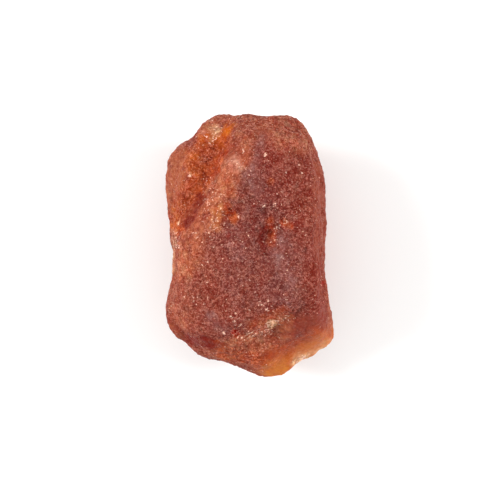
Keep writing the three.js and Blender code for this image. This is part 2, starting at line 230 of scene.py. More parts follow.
def along_line(line, points):
    """Signed distance to a line of points in plan, above 0 on its left, and the share of the line gone by."""
    best = np.full(len(points), np.inf)
    left = np.zeros(len(points))
    share = np.zeros(len(points))
    for i, (start, end) in enumerate(zip(line, line[1:])):
        start, span = np.array(start), np.subtract(end, start)
        offset = points[:, :2] - start
        t = np.clip(offset @ span / (span @ span), 0, 1)
        distance = np.linalg.norm(offset - t[:, None] * span, axis=1)
        side = np.sign(span[0] * offset[:, 1] - span[1] * offset[:, 0])
        nearer = distance < best
        best = np.where(nearer, distance, best)
        left = np.where(nearer, side * distance, left)
        share = np.where(nearer, (i + t) / (len(line) - 1), share)
    return left, share


def away_from(line, points):
    """Distance in plan to a line of points, or to one point."""
    if len(line) == 1:
        return np.linalg.norm(points[:, :2] - np.array(line[0]), axis=1)
    return np.abs(along_line(line, points)[0])


def away_in_space(line, points):
    """Distance to a line of points in space."""
    best = np.full(len(points), np.inf)
    for start, end in zip(line, line[1:]):
        start, span = np.array(start), np.subtract(end, start)
        t = np.clip((points - start) @ span / (span @ span), 0, 1)
        best = np.minimum(best, np.linalg.norm(points - start - t[:, None] * span, axis=1))
    return best


def within(share):
    """1 along a line, falling to 0 at its ends."""
    return smooth_step(share, 0, LINE_END) * smooth_step(share, 1, 1 - LINE_END)


def perlin(points, size, shift):
    """Smooth noise about 0, in clouds of this size. `shift` sets which clouds they are."""
    return np.array([noise.noise(Vector(p)) for p in points / size + shift])


def cells(points, size, shift):
    """Distance to the nearest grain centre, in grain sizes."""
    return np.array([noise.voronoi(Vector(p))[0][0] for p in points / size + shift])


def wandered(points):
    """The points moved about a little, so that what is laid out along plain lines looks natural."""
    moved = points.copy()
    for bend in WANDER:
        moved += bend["reach"] * np.array([noise.noise_vector(Vector(p)) for p in points / bend["size"]])
    return moved


def front_share(points, normals):
    """1 on the front, which is seen from above, and 0 on the sides and the back."""
    return smooth_step(normals[:, 2], *FRONT_SLOPE) * smooth_step(points[:, 2], *FRONT_HEIGHT)


def lip_share(points):
    """1 on the smooth thin lip at the lower right."""
    left, _ = along_line(LIP_EDGE, points)
    return smooth_step(left, *LIP_BORDER)


def pitted_share(points):
    """1 in the middle of the part that is pitted and mottled more strongly than the rest."""
    return smooth_step(away_from(PITTED["line"], points), PITTED["width"], 0.0)


def crumble_share(points):
    """1 along the crumbled step."""
    left, share = along_line(CRUMBLED_BAND["line"], points)
    return bell(left / CRUMBLED_BAND["width"]) * within(share)


def step_fall(points, line, depth, brow, reach):
    """How far a step lowers the surface."""
    left, share = along_line(line, points)
    fade = np.sqrt(np.clip(np.sin(math.pi * share), 0, 1))
    return depth * fade * smooth_step(left, -brow, brow) * bell(np.maximum(left, 0) / reach)


def spot_fall(points, x, y, depth, length, width, turn):
    """How far a pit lowers the surface, or below 0 how far a lump lifts it."""
    turn = math.radians(turn)
    dx, dy = points[:, 0] - x, points[:, 1] - y
    along = (dx * math.cos(turn) + dy * math.sin(turn)) / length
    across = (dy * math.cos(turn) - dx * math.sin(turn)) / width
    return depth * bell(np.hypot(along, across))


def ripple_fall(points, x, y, depth, length, at, width):
    """How far the ripples lower the surface, and lift it between them."""
    rings = np.hypot(points[:, 0] - x, points[:, 1] - y)
    return depth * np.sin(2 * math.pi * rings / length) * bell(away_from([at], points) / width)


def feature_fall(points, plan):
    """How far all the features of the front lower it."""
    fall = np.zeros(len(points))
    for step in STEPS.values():
        fall += step_fall(plan, **step)
    for spot in SPOTS:
        fall += spot_fall(plan, **spot)
    return fall + ripple_fall(points, **RIPPLES)


def grain_rise(points, plan, front):
    """How far grain and ridges lift the surface."""
    rise = np.zeros(len(points))
    for ridge in HACKLE:
        rise += ridge["depth"] * (1 - 2 * np.abs(perlin(points, ridge["size"], ridge["shift"])))
    crumble, pitted = crumble_share(plan) * front, pitted_share(plan) * front
    deeper = 1 + CRUMBLED_GRAIN * crumble + PITTED_GRAIN * pitted
    for grain in GRAINS:
        rise += grain["depth"] * (0.5 - cells(points, grain["size"], grain["shift"])) * deeper
    rough = 1 - LIP_SMOOTHNESS * lip_share(plan) * front
    return rise * (rough * smooth_step(points[:, 2], *GROUND))


def carve(mesh):
    """Moves the mesh's points by its features and grain."""
    points, normals = points_of(mesh), normals_of(mesh)
    plan = wandered(points)
    front = front_share(points, normals)
    points = points - (front * feature_fall(points, plan))[:, None] * UP
    points = points + grain_rise(points, plan, front)[:, None] * normals
    set_points(mesh, fit_box(points))


def fit_box(points):
    """The points spread or shrunk by a hair on each side, to the CAD solid's box."""
    low, high = (np.array(corner) / MM for corner in cad_box)
    middle = (low + high) / 2
    above = points > middle
    reach_up = points.max(0) - middle
    reach_down = middle - points.min(0)
    half = (high - low) / 2
    return middle + (points - middle) * np.where(above, half / reach_up, half / reach_down)


# ---------------------------------------------------------------- the palette

# The light that gloss and frost lay over every colour, which the painted colours therefore lack, and the
# darkest painted part of a colour.
HAZE = 0.008
DARKEST = 0.004

# How much brighter than white the light makes a white thing that faces up.
LIGHT_GAIN = 1.12


def linear(red, green, blue):
    """A screen colour of 0 to 255 as linear light, by the sRGB curve."""
    parts = np.array([red, green, blue]) / 255
    return np.where(parts <= 0.04045, parts / 12.92, ((parts + 0.055) / 1.055) ** 2.4)


def stone_colour(red, green, blue):
    """The painted colour that looks like a screen colour under this studio's light."""
    return np.maximum(linear(red, green, blue) - HAZE, DARKEST) / LIGHT_GAIN


BODY = stone_colour(140, 64, 53)
WINE = stone_colour(130, 48, 38)
RUST = stone_colour(184, 80, 42)
AMBER = stone_colour(196, 92, 28)
SALMON = stone_colour(186, 102, 72)
TAN = stone_colour(172, 94, 66)
MAUVE = stone_colour(122, 62, 58)
SLATE = stone_colour(148, 94, 88)
PALE = stone_colour(214, 146, 122)
CREAM = stone_colour(240, 182, 136)
HONEY = stone_colour(206, 112, 50)
DEEP_HONEY = stone_colour(186, 100, 68)
STRAW = stone_colour(212, 128, 52)
BLOOD = stone_colour(176, 46, 34)
PITCH = stone_colour(122, 34, 20)

# The most red, green and blue that the stone's colour holds, as shares of its red.
GARNET_LIMIT = np.array([1.0, 0.54, 0.4])

# ---------------------------------------------------------------- the patches of colour


class Patch(NamedTuple):
    """One patch of colour on the front: `share` of it, about `width` mm to each side of a line or a point.

    A patch `beside` a line lies on the line's left only, and begins there over `border` mm. Where a patch is
    `clear`, it is glassy by that share rather than frosted.
    """

    colour: np.ndarray | None
    share: float
    width: float
    line: list | None = None
    beside: list | None = None
    clear: float | None = None
    border: float = 0.12


# The patches, laid over one another in this order. The two without a colour of their own take the lip's
# honey as a painted glow, and lie evenly where light comes through the thin edge. All others are broken up.
PATCHES = {
    "brown of the head": Patch(TAN, 0.35, 1.3, [(-0.6, 7.6), (1.0, 7.7), (3.1, 7.2)]),
    "warm shoulder": Patch(SALMON, 0.25, 1.0, [(1.8, 7.2), (3.0, 6.4)]),
    "dark of the face": Patch(WINE, 0.35, 0.9, [(-0.9, 6.0), (1.0, 5.6), (2.1, 4.7)]),
    "dark of the right": Patch(WINE, 0.5, 1.2, [(4.0, 3.6), (3.2, 2.2), (3.6, 1.2)]),
    # The veil and its blue parts: mauve frost of the face, partly a painted sheen of white light reflected
    # off it.
    "veil": Patch(MAUVE, 0.6, 1.3, [(0.2, 3.9), (1.6, 0.4), (2.6, -2.8)]),
    "streak": Patch(SLATE, 0.4, 0.35, [(0.9, 6.9), (0.5, 5.6), (-0.1, 4.0), (0.9, 2.9)], clear=0.4),
    "blue of the veil": Patch(SLATE, 0.7, 0.5, [(1.9, 0.3), (1.7, -0.8), (2.5, -2.2)], clear=0.4),
    "blue by the edge": Patch(SLATE, 0.35, 0.5, [(3.4, -0.6), (3.4, -1.6)]),
    "blue fleck": Patch(SLATE, 0.6, 0.3, [(2.4, -3.6)]),
    "left low": Patch(SALMON, 0.1, 1.4, [(-2.6, -1.5), (-2.8, -4.0)]),
    "dark centre": Patch(MAUVE, 0.5, 1.6, [(-0.5, 1.2), (-0.4, -2.3), (1.2, -3.2)]),
    "dark right": Patch(WINE, 0.25, 1.0, [(2.6, -5.3), (3.6, -5.1), (4.6, -4.8)], clear=0.9),
    "hip": Patch(SALMON, 0.22, 0.9, [(-4.6, -2.4), (-4.4, -4.6)]),
    # Painted highlight along the hip's crest.
    "hip's crest": Patch(SALMON, 0.42, 0.34, [(-4.9, -3.9), (-4.7, -4.6), (-4.2, -5.1)]),
    "waist": Patch(SALMON, 0.85, 0.85, [(-3.8, -0.3), (-3.9, -0.9), (-4.2, -1.4)]),
    # Partly painted light: the lobe's left rim and the flank face the light from the left and are painted
    # lighter.
    "lobe": Patch(TAN, 0.75, 0.9, [(-4.4, 5.8), (-4.8, 4.4), (-4.9, 3.0)], clear=0.7),
    "flank": Patch(SALMON, 0.72, 1.5, beside=FLANK_EDGE[::-1], clear=0.4),
    "straw of the flank": Patch(HONEY, 0.25, 0.4, [(-1.9, 2.4), (-2.1, 1.2)]),
    "valley": Patch(RUST, 0.85, 1.3, beside=FLANK_EDGE, clear=0.2),
    "upper valley": Patch(RUST, 0.6, 0.7, [(-3.2, 5.7), (-3.6, 4.4), (-4.0, 3.2)], clear=0.15),
    "amber of the valley": Patch(AMBER, 0.25, 0.5, [(-3.7, 5.7), (-3.7, 4.6)]),
    "end of the valley": Patch(AMBER, 0.6, 0.6, [(-4.3, 2.6), (-4.6, 1.5)]),
    "red below": Patch(WINE, 0.5, 0.55, [(-4.2, 3.0), (-4.3, 1.7)]),
    # Painted shade at the foot of the valley's wall.
    "foot of the wall": Patch(WINE, 0.85, 0.4, [(-3.0, 3.0), (-3.6, 2.2), (-4.0, 1.4)], clear=0.7),
    "head of the valley": Patch(RUST, 0.8, 0.6, [(-1.8, 6.3), (-3.0, 6.3)]),
    "red of the head": Patch(WINE, 0.45, 0.7, [(-0.9, 6.2), (-2.6, 6.6)]),
    "amber corner": Patch(AMBER, 0.5, 0.6, [(-1.9, 6.7), (-2.9, 7.0)], clear=0.5),
    "brown of the rim": Patch(TAN, 0.6, 0.4, [(-2.8, 7.6), (-2.3, 8.05), (-1.5, 8.3)], clear=0.3),
    "glow of the corner": Patch(AMBER, 0.65, 0.35, [(-1.35, 7.75), (-1.5, 7.2)], clear=0.7),
    "cream corner": Patch(CREAM, 0.55, 0.42, [(-2.2, 7.35)]),
    "cream below": Patch(CREAM, 0.25, 0.2, [(-2.45, 6.75)]),
    "pale by the notch": Patch(PALE, 0.4, 0.2, [(-3.0, 7.2)]),
    # Painted highlight: the pale crest of the bump, where the light is reflected.
    "bump": Patch(PALE, 0.5, 0.42, [(-1.0, 5.35), (-0.75, 4.9)], clear=0.5),
    "bump's fleck": Patch(SLATE, 0.7, 0.18, [(-0.3, 4.45)]),
    "orange of the flank": Patch(RUST, 0.4, 0.45, [(-1.4, 3.9), (-1.1, 3.3)]),
    "rim of the waist": Patch(CREAM, 0.45, 0.3, [(-5.0, -0.3), (-5.1, -1.6)]),
    "crystals of the waist": Patch(CREAM, 0.2, 0.25, [(-4.8, 1.0), (-4.75, 0.2)]),
    "crystals of the lobe": Patch(CREAM, 0.7, 0.14, [(-4.5, 1.4)]),
    "fleck of the lobe": Patch(CREAM, 0.7, 0.13, [(-3.8, 4.5)]),
    "grey fleck": Patch(SLATE, 0.5, 0.3, [(-1.3, 0.2), (-0.8, -0.3)]),
    "pit of the flank": Patch(RUST, 0.75, 0.35, [(-1.45, 2.3), (-1.0, 1.6)], clear=0.25),
    # Partly painted shade: the dark slot of the pit and the dark on its wall.
    "deep pit": Patch(PITCH, 0.8, 0.22, [(1.0, 1.2), (0.75, 0.6), (0.85, -0.2)], clear=0.45),
    "wall of the pit": Patch(RUST, 0.6, 0.3, [(1.3, 1.5), (1.5, 0.9), (1.4, 0.2)], clear=0.1),
    "dark of the wall": Patch(PITCH, 0.5, 0.12, [(1.35, 0.9), (1.3, 0.3)], clear=0.6),
    "red by the pit": Patch(RUST, 0.65, 0.25, [(2.1, 1.5), (2.5, 1.3)]),
    "upper pit": Patch(RUST, 0.8, 0.25, [(1.3, 4.05)]),
    "dark flecks": Patch(WINE, 0.7, 0.25, [(3.5, 3.5), (3.9, 3.2)]),
    "dark of the shoulder": Patch(WINE, 0.6, 0.3, [(3.0, 5.5), (3.5, 5.3)]),
    "pits of the head": Patch(WINE, 0.25, 0.35, [(2.3, 7.3), (3.2, 6.9)]),
    "dark of the head": Patch(WINE, 0.4, 0.16, [(2.4, 7.5), (2.9, 7.4)]),
    # Partly painted light: the right strip catches the light from the right and is painted lighter.
    "right strip": Patch(TAN, 0.2, 0.85, beside=RIGHT_EDGE, clear=0.6),
    "dark of the edge": Patch(WINE, 0.8, 0.9, [(4.0, -1.4), (4.1, -2.9)]),
    "right hip": Patch(TAN, 0.35, 0.2, [(5.0, -3.2), (5.2, -5.0)]),
    "mauve fleck": Patch(SLATE, 0.75, 0.38, [(-2.5, -4.4), (-2.2, -4.9)], clear=0.4),
    "grey of the foot": Patch(SLATE, 0.35, 0.4, [(-1.8, -5.1), (-1.4, -5.5)]),
    "red fleck": Patch(BLOOD, 0.85, 0.22, [(-1.0, -5.4), (-0.85, -5.65)]),
    "red fleck by the lip": Patch(BLOOD, 0.5, 0.12, [(2.7, -5.6)]),
    "red fleck of the edge": Patch(BLOOD, 0.5, 0.14, [(4.75, -2.4)]),
    "red fleck of the middle": Patch(BLOOD, 0.4, 0.12, [(-1.35, 0.6)]),
    "maroon band": Patch(WINE, 0.95, 0.8, beside=HIP_EDGE, clear=0.8),
    "depth of the band": Patch(PITCH, 0.55, 0.5, [(-3.5, -6.0), (-2.6, -6.15)]),
    "left of the band": Patch(TAN, 0.4, 0.35, [(-5.1, -5.2), (-4.4, -5.8)]),
    # Painted shade in the crease of the hip.
    "crease of the hip": Patch(PITCH, 0.4, 0.16, [(-4.75, -5.3), (-4.2, -5.75), (-3.5, -5.95)]),
    "orange fleck": Patch(RUST, 0.6, 0.17, [(-2.0, -6.1)]),
    "under the band": Patch(TAN, 0.5, 0.35, [(-2.8, -6.85), (-1.5, -7.1)]),
    "foot": Patch(TAN, 0.5, 0.9, [(-1.2, -6.6), (0.8, -6.2)]),
    "crumbled foot": Patch(SALMON, 0.5, 0.35, [(-0.9, -5.9), (0.1, -5.9)]),
    "orange of the foot": Patch(RUST, 0.5, 0.6, [(-1.6, -7.0), (0.4, -7.2)]),
    "orange over the step": Patch(RUST, 0.4, 0.4, [(2.1, -4.0), (0.1, -5.0)]),
    "crumbled band": Patch(SALMON, 0.5, 0.45, [(0.2, -5.6), (1.0, -4.9), (2.3, -4.6)]),
    "crumbs": Patch(CREAM, 0.8, 0.24, [(1.25, -4.95), (1.6, -4.85)]),
    "crumbs, right": Patch(TAN, 0.8, 0.28, [(1.9, -4.75), (2.5, -4.65)], clear=0.5),
    "crumbs, left": Patch(PALE, 0.35, 0.3, [(1.0, -5.5), (0.7, -5.8)]),
    "under the step": Patch(SALMON, 0.55, 0.6, [(2.2, -5.4), (1.7, -6.1), (0.6, -6.4)]),
    "root of the lip": Patch(RUST, 0.6, 0.6, [(1.5, -7.1), (2.9, -6.5), (4.3, -5.7)], clear=0.8),
    # Painted glow of light coming through the thin lip.
    "lip": Patch(None, 0.75, 9.0, beside=LIP_EDGE, clear=0.95, border=1.0),
    "lip's glow": Patch(None, 0.8, 1.1, [(1.4, -8.2), (2.6, -7.7), (4.0, -7.0), (5.6, -6.2)]),
    "lip's edge": Patch(CREAM, 0.5, 0.5, [(3.2, -7.4), (4.2, -7.1), (5.2, -6.4)]),
    "lip's chip": Patch(CREAM, 0.9, 0.3, [(3.0, -7.55), (3.7, -7.25)], clear=0.0),
    "toe": Patch(STRAW, 0.6, 0.45, [(1.2, -8.0), (2.1, -7.9)]),
    "orange by the toe": Patch(RUST, 0.6, 0.5, [(0.5, -7.5), (1.1, -7.6)]),
    "toe's rim": Patch(WINE, 0.5, 0.25, [(0.3, -8.3), (0.9, -8.5)]),
    # Painted shade: a dark rim along the top edge of the head, standing in for light bent away at the
    # outline.
    "rim of the head": Patch(WINE, 0.4, 0.12, [(-2.8, 8.1), (-1.6, 8.55), (0.9, 8.3)]),
}

# How a patch ends, in parts of its width: gone from the first on, and whole up to the second. A patch beside
# a line begins a little to the right of the line, by this place in mm.
PATCH_END = (1.4, 0.3)
BESIDE_END = (1.25, 0.6)
BESIDE_START = -0.08

# How much the small and the fine clouds add to a patch or take from it.
BROKEN_SMALL = 0.5
BROKEN_FINE = 0.9

# ---------------------------------------------------------------- the painted glints

# Painted glints, single bright specks of painted light on the front: the radius of each, in mm, and where
# they lie.
GLINTS = {
    0.07: [(-2.7, 4.15), (-1.3, 4.9), (2.3, 4.6), (3.3, 4.6), (0.1, 6.6), (-0.4, 5.9), (3.4, 0.9),
           (1.0, -4.0), (-0.9, -4.2), (2.1, -0.7), (-3.0, -1.2), (0.3, -2.9), (1.7, 0.1), (-1.9, 3.1),
           (1.55, 0.4), (1.35, 0.2), (1.2, 1.4), (1.8, 1.55), (1.6, 0.75), (0.85, 0.3), (1.0, -0.4)],
    0.1: [(0.9, 2.5), (-0.05, 0.65), (-0.7, 1.8), (0.55, -1.95), (0.0, -4.0), (1.2, -3.4), (1.55, 2.6),
          (-1.1, 2.6)],
    0.13: [(-3.8, 4.5), (2.15, 1.45), (-1.65, -5.5), (1.0, 5.75)],
}
GLINT_BRIGHTNESS = 1.6

# Where painted glints lie thicker than elsewhere: how much thicker, and how far round a line or a point.
GLINT_CLUSTERS = [
    dict(line=[(-2.1, 7.45), (-2.45, 6.9)], more=0.8, width=0.4),
    dict(line=[(-1.0, 5.4), (-0.7, 4.9)], more=0.3, width=0.4),
    dict(line=[(-4.5, 1.4)], more=1.0, width=0.17),
    dict(line=[(-4.8, 0.8), (-4.6, -0.1)], more=0.8, width=0.25),
    dict(line=[(-2.6, 3.4), (-2.0, 1.8), (-2.8, 0.6)], more=0.4, width=0.8),
    dict(line=[(1.7, -4.8), (1.2, -4.95)], more=1.0, width=0.25),
    dict(line=[(2.6, -4.5), (1.4, -4.95)], more=0.6, width=0.3),
    dict(line=[(0.9, -5.4), (-0.4, -5.8), (-1.0, -5.4), (-0.9, -4.9)], more=0.6, width=0.35),
    dict(line=[(2.3, 1.5), (1.7, 1.1)], more=0.6, width=0.3),
    dict(line=[(0.6, -3.6), (1.4, -4.2)], more=0.5, width=0.3),
    dict(line=[(3.0, -7.55), (3.9, -7.1)], more=1.0, width=0.25),
]
GLINT_CLUSTER_END = (1.5, 0.3)

# ---------------------------------------------------------------- the painted colours

# Clouds of noise that several colours follow: their size in mm, and which clouds they are.
BROAD = (2.4, 41.0)
SMALL = (0.7, 17.0)
FINE = (0.3, 19.0)

# The colours of the front grow in between these upward parts of the normal, and between these heights, which
# the broad clouds bend. The border is then smoothed by so many rounds.
SEEN_SLOPE = (-0.4, 0.1)
SEEN_HEIGHT = (0.3, 2.4)
SEEN_ROUNDS = 4

# Clouds of colour over the whole stone: they grow in as the broad noise, or its opposite where `side` is -1,
# goes from `low` to `high`. A part RAGGED of finer noise makes their borders ragged.
BODY_CLOUDS = [
    dict(colour=WINE, side=1, low=0.05, high=0.5, share=0.5),
    dict(colour=TAN, side=-1, low=0.1, high=0.6, share=0.25),
]
RAGGED = 0.3

# Clouds of colour over the sides and the back, each with a noise of its own.
SIDE_CLOUDS = [
    dict(colour=RUST, size=1.9, shift=73.0, low=0.0, high=0.4, share=0.7),
    dict(colour=SALMON, size=2.6, shift=97.0, low=0.05, high=0.45, share=0.8),
    dict(colour=MAUVE, size=3.1, shift=57.0, low=0.05, high=0.4, share=0.5),
]

# The sides turn to honey, a painted glow of light through the stone, as the stone behind them thins out
# between these depths, in mm.
THINNING = (3.6, 1.2)
THIN_GLOW_HONEY = 0.8
THIN_ROUNDS = 14

# A ray that looks for the far side starts so deep in the stone, and where it finds none, this depth is taken.
RAY_START = 0.05
DEEPEST = 8.0

# The lip's thin edge lets light through, and its glow is painted. It is a line of points in space: the stone
# is painted glowing within `reach` mm of it, fully within `full` mm, and the front is painted lit this much
# further off. Clouds bend the distances.
THIN_EDGE = dict(line=[(0.3, -8.2, 3.2), (2.9, -7.9, 3.1), (4.2, -7.1, 3.2), (5.4, -5.9, 3.6)],
                 full=0.3, reach=2.2)
LIT_FULL = 0.5
LIT_REACH = 0.8
EDGE_BROAD = 1.1
EDGE_SMALL = 0.8
GLOW_HONEY = 0.8
GLOW_ROUNDS = 20
LIT_ROUNDS = 50

# Darker veins in the honey of the lip, flattened into layers, which show where the lip is steep.
VEINS = (0.9, 51.0)
VEIN_LAYERS = np.array([1, 1, 1.8])
VEIN_SPAN = (-0.25, 0.35)
STEEP_SPAN = (0.9, 0.4)
STEEP_HONEY = 0.25
VEIN_HONEY = 0.6

# Mottling: clear spots let less green and blue through than frosted ones. CALM_GLOW of it is lost where the
# thin edge glows, and CALM_CLEAR of it is left where the stone is clear.
COARSE_MOTTLE = (0.5, 29.0)
FINE_MOTTLE = (0.25, 31.0)
FINE_SHARE = 0.7
MOTTLE_TINT = np.array([0.1, 0.45, 0.5])
CALM_GLOW = 0.6
CALM_CLEAR = 0.4

# Relief: hollows are clear and deep in colour and darkened with painted shade, and what stands proud is
# frosted. Each pair is how far the surround reaches, in rounds of smoothing, and a height over it, in mm,
# that counts as proud.
RELIEFS = [(5, 0.02), (40, 0.1)]
PROUD_TINT = np.array([1.1, 1.3, 1.4])
PROUD_SHARE = 0.5
HOLLOW_SHADE_TINT = np.array([0.75, 0.5, 0.45])
HOLLOW_SHADE_SHARE = 0.35
PITTED_RELIEF = 0.3

# GLOW_CLEAR of the frost is lost where the thin edge glows. The rest is more or less frosty in clouds.
GLOW_CLEAR = 0.8
FROST_CLOUDS = (0.9, 61.0)
FROST_RANGE = 0.5


class Carved:
    """The carved stone as the painting needs it, with the clouds and shares that several colours follow."""

    def __init__(self, mesh):
        self.points, self.normals, self.edges = points_of(mesh), normals_of(mesh), edges_of(mesh)
        self.faces = [tuple(face.vertices) for face in mesh.polygons]
        self.plan = wandered(self.points)
        self.broad = perlin(self.points, *BROAD)
        self.small = perlin(self.points, *SMALL)
        self.fine = perlin(self.points, *FINE)
        self.front = self.seen_share()
        self.glow, self.lit = self.thin_edge_shares()
        self.pitted = self.front * pitted_share(self.plan)

    def seen_share(self):
        """1 where the front's colours lie, and 0 on the sides and the back."""
        facing = smooth_step(self.normals[:, 2], *SEEN_SLOPE)
        seen = facing * smooth_step(self.points[:, 2] + self.broad, *SEEN_HEIGHT)
        return smoothed(seen, self.edges, SEEN_ROUNDS)

    def thin_edge_shares(self):
        """1 where the lip's thin edge is painted glowing, and 1 where the front beside it is painted lit."""
        away = away_in_space(THIN_EDGE["line"], self.points)
        near = away + EDGE_BROAD * self.broad + EDGE_SMALL * self.small
        full, reach = THIN_EDGE["full"], THIN_EDGE["reach"]
        glow = smoothed(smooth_step(near, reach, full), self.edges, GLOW_ROUNDS)
        return glow, smooth_step(near, reach + LIT_REACH, full + LIT_FULL)

    def thickness(self):
        """How much stone lies behind each point, straight inwards, in mm, smoothed over its surround."""
        tree = BVHTree.FromPolygons([Vector(point) for point in self.points], self.faces)
        depths = np.empty(len(self.points))
        for i, (point, normal) in enumerate(zip(self.points, self.normals)):
            inward = -Vector(normal)
            hit = tree.ray_cast(Vector(point) + inward * RAY_START, inward)
            depths[i] = hit[3] if hit[0] else DEEPEST
        return smoothed(depths, self.edges, THIN_ROUNDS)

    def proudness(self, rounds):
        """How far a point stands proud of what is round it, in mm, and below 0 in a hollow."""
        far = np.stack([smoothed(self.points[:, i], self.edges, rounds) for i in range(3)], axis=1)
        return np.einsum("ij,ij->i", self.points - far, self.normals)


def laid_over(paint, colour, share):
    """The paint with a share of a colour over it."""
    return paint + (np.asarray(colour) - paint) * np.clip(share, 0, 1)[:, None]


def clouded(paint, cloud, height):
    """The paint with a cloud of colour, by the height of the noise."""
    share = smooth_step(height, cloud["low"], cloud["high"]) * cloud["share"]
    return laid_over(paint, cloud["colour"], share)


def patch_share(patch, points):
    """1 in a patch, falling to 0 outside it."""
    if patch.beside:
        left, share = along_line(patch.beside, points)
        ended = smooth_step(left, *(part * patch.width for part in BESIDE_END))
        return smooth_step(left, BESIDE_START, patch.border) * ended * within(share)
    return smooth_step(away_from(patch.line, points), *(part * patch.width for part in PATCH_END))


def body_paint(stone):
    """The colour under all others: the body's, in broad clouds."""
    paint = np.tile(BODY, (len(stone.points), 1))
    for cloud in BODY_CLOUDS:
        paint = clouded(paint, cloud, cloud["side"] * stone.broad + RAGGED * stone.small)
    return paint


def lip_honey(stone):
    """The honey of the lip's painted glow, with veins where it is steep."""
    height = perlin(stone.points * VEIN_LAYERS, *VEINS) + RAGGED * stone.fine
    veins = STEEP_HONEY + VEIN_HONEY * smooth_step(height, *VEIN_SPAN)
    steep = smooth_step(stone.normals[:, 2], *STEEP_SPAN)
    return laid_over(np.tile(HONEY, (len(stone.points), 1)), DEEP_HONEY, steep * veins)


def side_paint(stone, paint, honey):
    """The paint of the sides and the back, over the body's, with a painted glow where the stone is thin."""
    for cloud in SIDE_CLOUDS:
        paint = clouded(paint, cloud, perlin(stone.points, cloud["size"], cloud["shift"]))
    # Painted glow: honey where little stone lies behind, and round the lip's thin edge.
    paint = laid_over(paint, HONEY, smooth_step(stone.thickness(), *THINNING) * THIN_GLOW_HONEY)
    return laid_over(paint, honey, stone.glow * GLOW_HONEY)


def front_paint(stone, paint, honey):
    """The paint of the front, with its patches over the body's, and how frosted they leave it."""
    frost = np.ones(len(stone.points))
    broken = 1 + BROKEN_SMALL * stone.small + BROKEN_FINE * stone.fine
    for patch in PATCHES.values():
        share = patch_share(patch, stone.plan)
        if patch.colour is None:
            share = smoothed(share * stone.lit, stone.edges, LIT_ROUNDS)
            paint = laid_over(paint, honey, patch.share * share)
        else:
            share = share * broken
            paint = laid_over(paint, patch.colour, patch.share * share)
        if patch.clear is not None:
            frost += (1 - patch.clear - frost) * np.clip(share, 0, 1)
    return paint, frost


def mottled(stone, paint, frost):
    """The paint with clear and frosted spots."""
    mottle = perlin(stone.points, *COARSE_MOTTLE) + FINE_SHARE * perlin(stone.points, *FINE_MOTTLE)
    mottle *= (1 - CALM_GLOW * stone.glow) * (CALM_CLEAR + (1 - CALM_CLEAR) * frost)
    mottle *= 1 + stone.pitted
    return paint * np.exp(mottle[:, None] * MOTTLE_TINT)


def painted_relief_shade(stone, paint):
    """The paint, frosted where the stone stands proud, and with deep colour and painted shade in hollows."""
    relief = np.tanh(sum(stone.proudness(rounds) / height for rounds, height in RELIEFS))
    more = PITTED_RELIEF * stone.pitted
    paint = laid_over(paint, paint * PROUD_TINT, (PROUD_SHARE + more) * np.clip(relief, 0, 1))
    # Painted shade: the hollows are darkened.
    return laid_over(paint, paint * HOLLOW_SHADE_TINT, (HOLLOW_SHADE_SHARE + more) * np.clip(-relief, 0, 1))


def glint_mask_of(stone):
    """How thick the painted glints lie at each point of the front."""
    painted_glints = np.zeros(len(stone.points))
    for place in GLINT_CLUSTERS:
        ends = (part * place["width"] for part in GLINT_CLUSTER_END)
        share = smooth_step(away_from(place["line"], stone.plan), *ends)
        painted_glints = np.maximum(painted_glints, place["more"] * share)
    for width, places in GLINTS.items():
        for at in places:
            glint = GLINT_BRIGHTNESS * bell(away_from([at], stone.points) / width)
            painted_glints = np.maximum(painted_glints, glint)
    return painted_glints * stone.front


def frost_of(stone, frost):
    """How frosted the whole stone is, given the front's frost."""
    glow = GLOW_CLEAR * stone.glow
    frost = 1 - glow + (frost - 1 + glow) * stone.front
    return np.clip(frost * (1 + FROST_RANGE * perlin(stone.points, *FROST_CLOUDS)), 0, 1)


def painted(mesh):
    """Colour with painted glow and shade at each point, how frosted it is, and the mask of painted glints."""
    stone = Carved(mesh)
    body, honey = body_paint(stone), lip_honey(stone)
    sides = side_paint(stone, body, honey)
    paint, frost = front_paint(stone, body, honey)
    paint = sides + (paint - sides) * stone.front[:, None]
    paint = painted_relief_shade(stone, mottled(stone, paint, frost))
    paint = np.minimum(paint, paint[:, :1] * GARNET_LIMIT)
    return paint, frost_of(stone, frost), glint_mask_of(stone)


def add_colour(mesh, name, values):
    attribute = mesh.attributes.new(name, "FLOAT_COLOR", "POINT")
    with_alpha = np.concatenate([values, np.ones((len(values), 1))], axis=1)
    attribute.data.foreach_set("color", with_alpha.astype(np.float32).ravel())


def add_mask(mesh, name, values):
    attribute = mesh.attributes.new(name, "FLOAT", "POINT")
    attribute.data.foreach_set("value", np.asarray(values, dtype=np.float32))


# ---------------------------------------------------------------- the material


